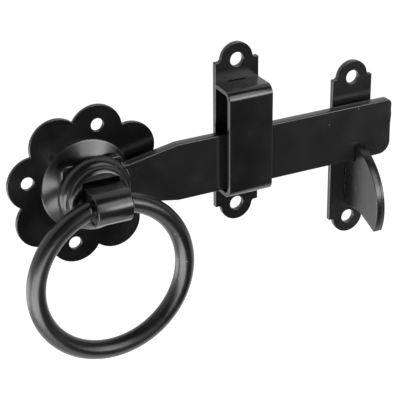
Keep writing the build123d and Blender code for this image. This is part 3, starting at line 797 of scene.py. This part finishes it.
# %% [markdown]
# The photograph is a pack shot on plain white, with no shadow. The floor is a pale light table far below the latch.
# It glows a little and takes the light of the lamps. The room is white too, and it throws less light on the latch
# than it shows to the camera and to reflections, because most of a black thing's looks are in its reflections.

# %% Floor and surroundings
FLOOR_Z, FLOOR_HALF = -0.80, 6.0
ROOM_LIGHT = 0.45        # what the white room throws on the latch, less than it shows
TABLE_GLOW = 0.6


def light_table():
    """White acrylic lit from below: a diffuse surface that also gives off some light of its own."""
    material, tree, output = new_material("white_acrylic_light_table")
    shader = add_node(tree, "ShaderNodeBsdfPrincipled",
                      values={"Base Color": from_hex("#F4F4F4"), "Roughness": 0.9, "Specular IOR Level": 0.1,
                              "Emission Color": from_hex("#FFFFFF"), "Emission Strength": TABLE_GLOW})
    tree.links.new(shader.outputs["BSDF"], output.inputs["Surface"])
    return material


floor_mesh = bpy.data.meshes.new("floor")
floor_corners = [(x * FLOOR_HALF, y * FLOOR_HALF, FLOOR_Z) for x, y in ((-1, -1), (1, -1), (1, 1), (-1, 1))]
floor_mesh.from_pydata(floor_corners, [], [(0, 1, 2, 3)])
floor_mesh.materials.append(light_table())
floor = bpy.data.objects.new("floor", floor_mesh)
bpy.context.scene.collection.objects.link(floor)

world = bpy.data.worlds.new("white_studio")
bpy.context.scene.world = world
world.use_nodes = True
tree = world.node_tree
tree.nodes.clear()
path = add_node(tree, "ShaderNodeLightPath")
seen = add_node(tree, "ShaderNodeMath", {"operation": "MAXIMUM"},
                links={0: path.outputs["Is Camera Ray"], 1: path.outputs["Is Glossy Ray"]})
seen = add_node(tree, "ShaderNodeMath", {"operation": "MAXIMUM"},
                links={0: seen.outputs["Value"], 1: path.outputs["Is Transmission Ray"]})
strength = add_node(tree, "ShaderNodeMapRange", values={"To Min": ROOM_LIGHT, "To Max": 1.0},
                    links={"Value": seen.outputs["Value"]})
background = add_node(tree, "ShaderNodeBackground", values={"Color": from_hex("#FFFFFF")},
                      links={"Strength": strength.outputs["Result"]})
add_node(tree, "ShaderNodeOutputWorld", links={"Surface": background.outputs["Background"]})

# %% [markdown]
# Glossy black shows the room more than it shows itself. In the photograph three bright things are mirrored. One is
# high on the right and brighter towards its lower edge: it draws the band on the strap's bend and on the knuckle,
# and the patch on top of the boss, and two lamps one below the other give it. One is low on the left, and lights
# the left of the boss and of the ring. The last is low behind on the left, and lights the flat of the fin.
# Everything between them is dark, so the rest is black felt: a curtain behind the camera, a sheet low on the
# right, and a small flag beside the fin that keeps a second reflection off the catch's plate. The felt is seen
# only by reflections: no camera sees it and it throws no shadow. A direction is given as degrees right of the
# front and degrees above the horizon.

# %% Softboxes
HUB = Vector((0.05, -0.015, 0.0))


def towards(right_of_front, above):
    """Unit direction: (sin a cos e, -cos a cos e, sin e)."""
    a, e = np.radians(right_of_front), np.radians(above)
    return np.stack([np.sin(a) * np.cos(e), -np.cos(a) * np.cos(e), np.sin(e) + 0 * a], -1)


def softbox(name, right_of_front, above, distance, width, height, radiance):
    """Area lamp that faces the latch, with lengths in metres. Its power is radiance times its area times pi."""
    lamp = bpy.data.lights.new(name, "AREA")
    lamp.shape = "RECTANGLE"
    lamp.size, lamp.size_y = width, height
    lamp.energy = radiance * width * height * np.pi
    holder = bpy.data.objects.new(name, lamp)
    bpy.context.scene.collection.objects.link(holder)
    outward = Vector(towards(right_of_front, above))
    turn = (-outward).to_track_quat("-Z", "Y").to_matrix().to_4x4()
    holder.matrix_world = Matrix.Translation(HUB + outward * distance) @ turn
    holder.visible_camera = False


softbox("softbox_right", 27, 25, distance=1.1, width=0.64, height=0.95, radiance=4.3)
softbox("softbox_right_low", 31, 8, distance=1.1, width=0.61, height=0.37, radiance=6.2)
softbox("softbox_left", -45, -27, distance=0.65, width=0.85, height=0.46, radiance=6.6)
softbox("softbox_behind_left", -115, -24, distance=0.9, width=0.80, height=0.40, radiance=4.0)

# %% Black felt
FELT_COLUMNS, FELT_ROWS = 25, 17
FELT_DARK, FELT_PALE = 0.004, 0.012     # share of the light that its threads send back
felt_black, tree, output = new_material("black_felt")
weave = add_node(tree, "ShaderNodeTexNoise", values={"Scale": 300.0})
shade = add_node(tree, "ShaderNodeMapRange", values={"To Min": FELT_DARK, "To Max": FELT_PALE},
                 links={"Value": weave.outputs["Fac"]})
felt = add_node(tree, "ShaderNodeBsdfDiffuse", links={"Color": shade.outputs["Result"]})
tree.links.new(felt.outputs["BSDF"], output.inputs["Surface"])


def felt_sheet(name, distance, left, right, low, high):
    """Part of a ball of the given radius round the latch, between two turns and two heights in degrees."""
    across, up = np.meshgrid(np.linspace(left, right, FELT_COLUMNS), np.linspace(low, high, FELT_ROWS))
    points = (towards(across, up) * distance + np.array(HUB)).reshape(-1, 3)
    row, column = np.meshgrid(np.arange(FELT_ROWS - 1), np.arange(FELT_COLUMNS - 1), indexing="ij")
    here = (row * FELT_COLUMNS + column).ravel()
    above = here + FELT_COLUMNS
    mesh = bpy.data.meshes.new(name)
    mesh.from_pydata(points, [], np.stack([here, above, above + 1, here + 1], 1).tolist())
    mesh.materials.append(felt_black)
    sheet = bpy.data.objects.new(name, mesh)
    bpy.context.scene.collection.objects.link(sheet)
    for ray_kind in ("visible_camera", "visible_shadow", "visible_diffuse", "visible_transmission"):
        setattr(sheet, ray_kind, False)


felt_sheet("felt_curtain", 1.5, left=-80, right=80, low=-8, high=89)
felt_sheet("felt_low", 0.5, left=-10, right=52, low=-48, high=-4)
felt_sheet("felt_flag", 0.12, left=0, right=55, low=-65, high=-12)

# %% [markdown]
# The camera stands where the photographer's did: its place, its turn and its focal length were worked out from
# the outlines in the photograph. The focal length is in picture widths, and Blender's lens is that times the
# sensor's width.

# %% Camera
CAMERA_PLACE = Vector((-0.2760, -0.6682, 0.3401))
YAW, PITCH, ROLL = np.radians([26.987, 25.904, -0.495])
FOCAL_PIXELS, PICTURE_PIXELS = 1602.7, 400
look = np.array([np.sin(YAW) * np.cos(PITCH), np.cos(YAW) * np.cos(PITCH), -np.sin(PITCH)])
level_right = np.array([np.cos(YAW), -np.sin(YAW), 0.0])
level_up = np.cross(level_right, look)
right = np.cos(ROLL) * level_right + np.sin(ROLL) * level_up
up = -np.sin(ROLL) * level_right + np.cos(ROLL) * level_up
camera_data = bpy.data.cameras.new("photo_camera")
camera_data.sensor_width = 36.0
camera_data.lens = camera_data.sensor_width * FOCAL_PIXELS / PICTURE_PIXELS
camera_data.clip_start = 0.05
camera = bpy.data.objects.new("photo_camera", camera_data)
bpy.context.scene.collection.objects.link(camera)
turn = Matrix((right, up, -look)).transposed().to_4x4()
camera.matrix_world = Matrix.Translation(CAMERA_PLACE) @ turn
bpy.context.scene.camera = camera
bpy.context.scene.view_settings.view_transform = "Standard"
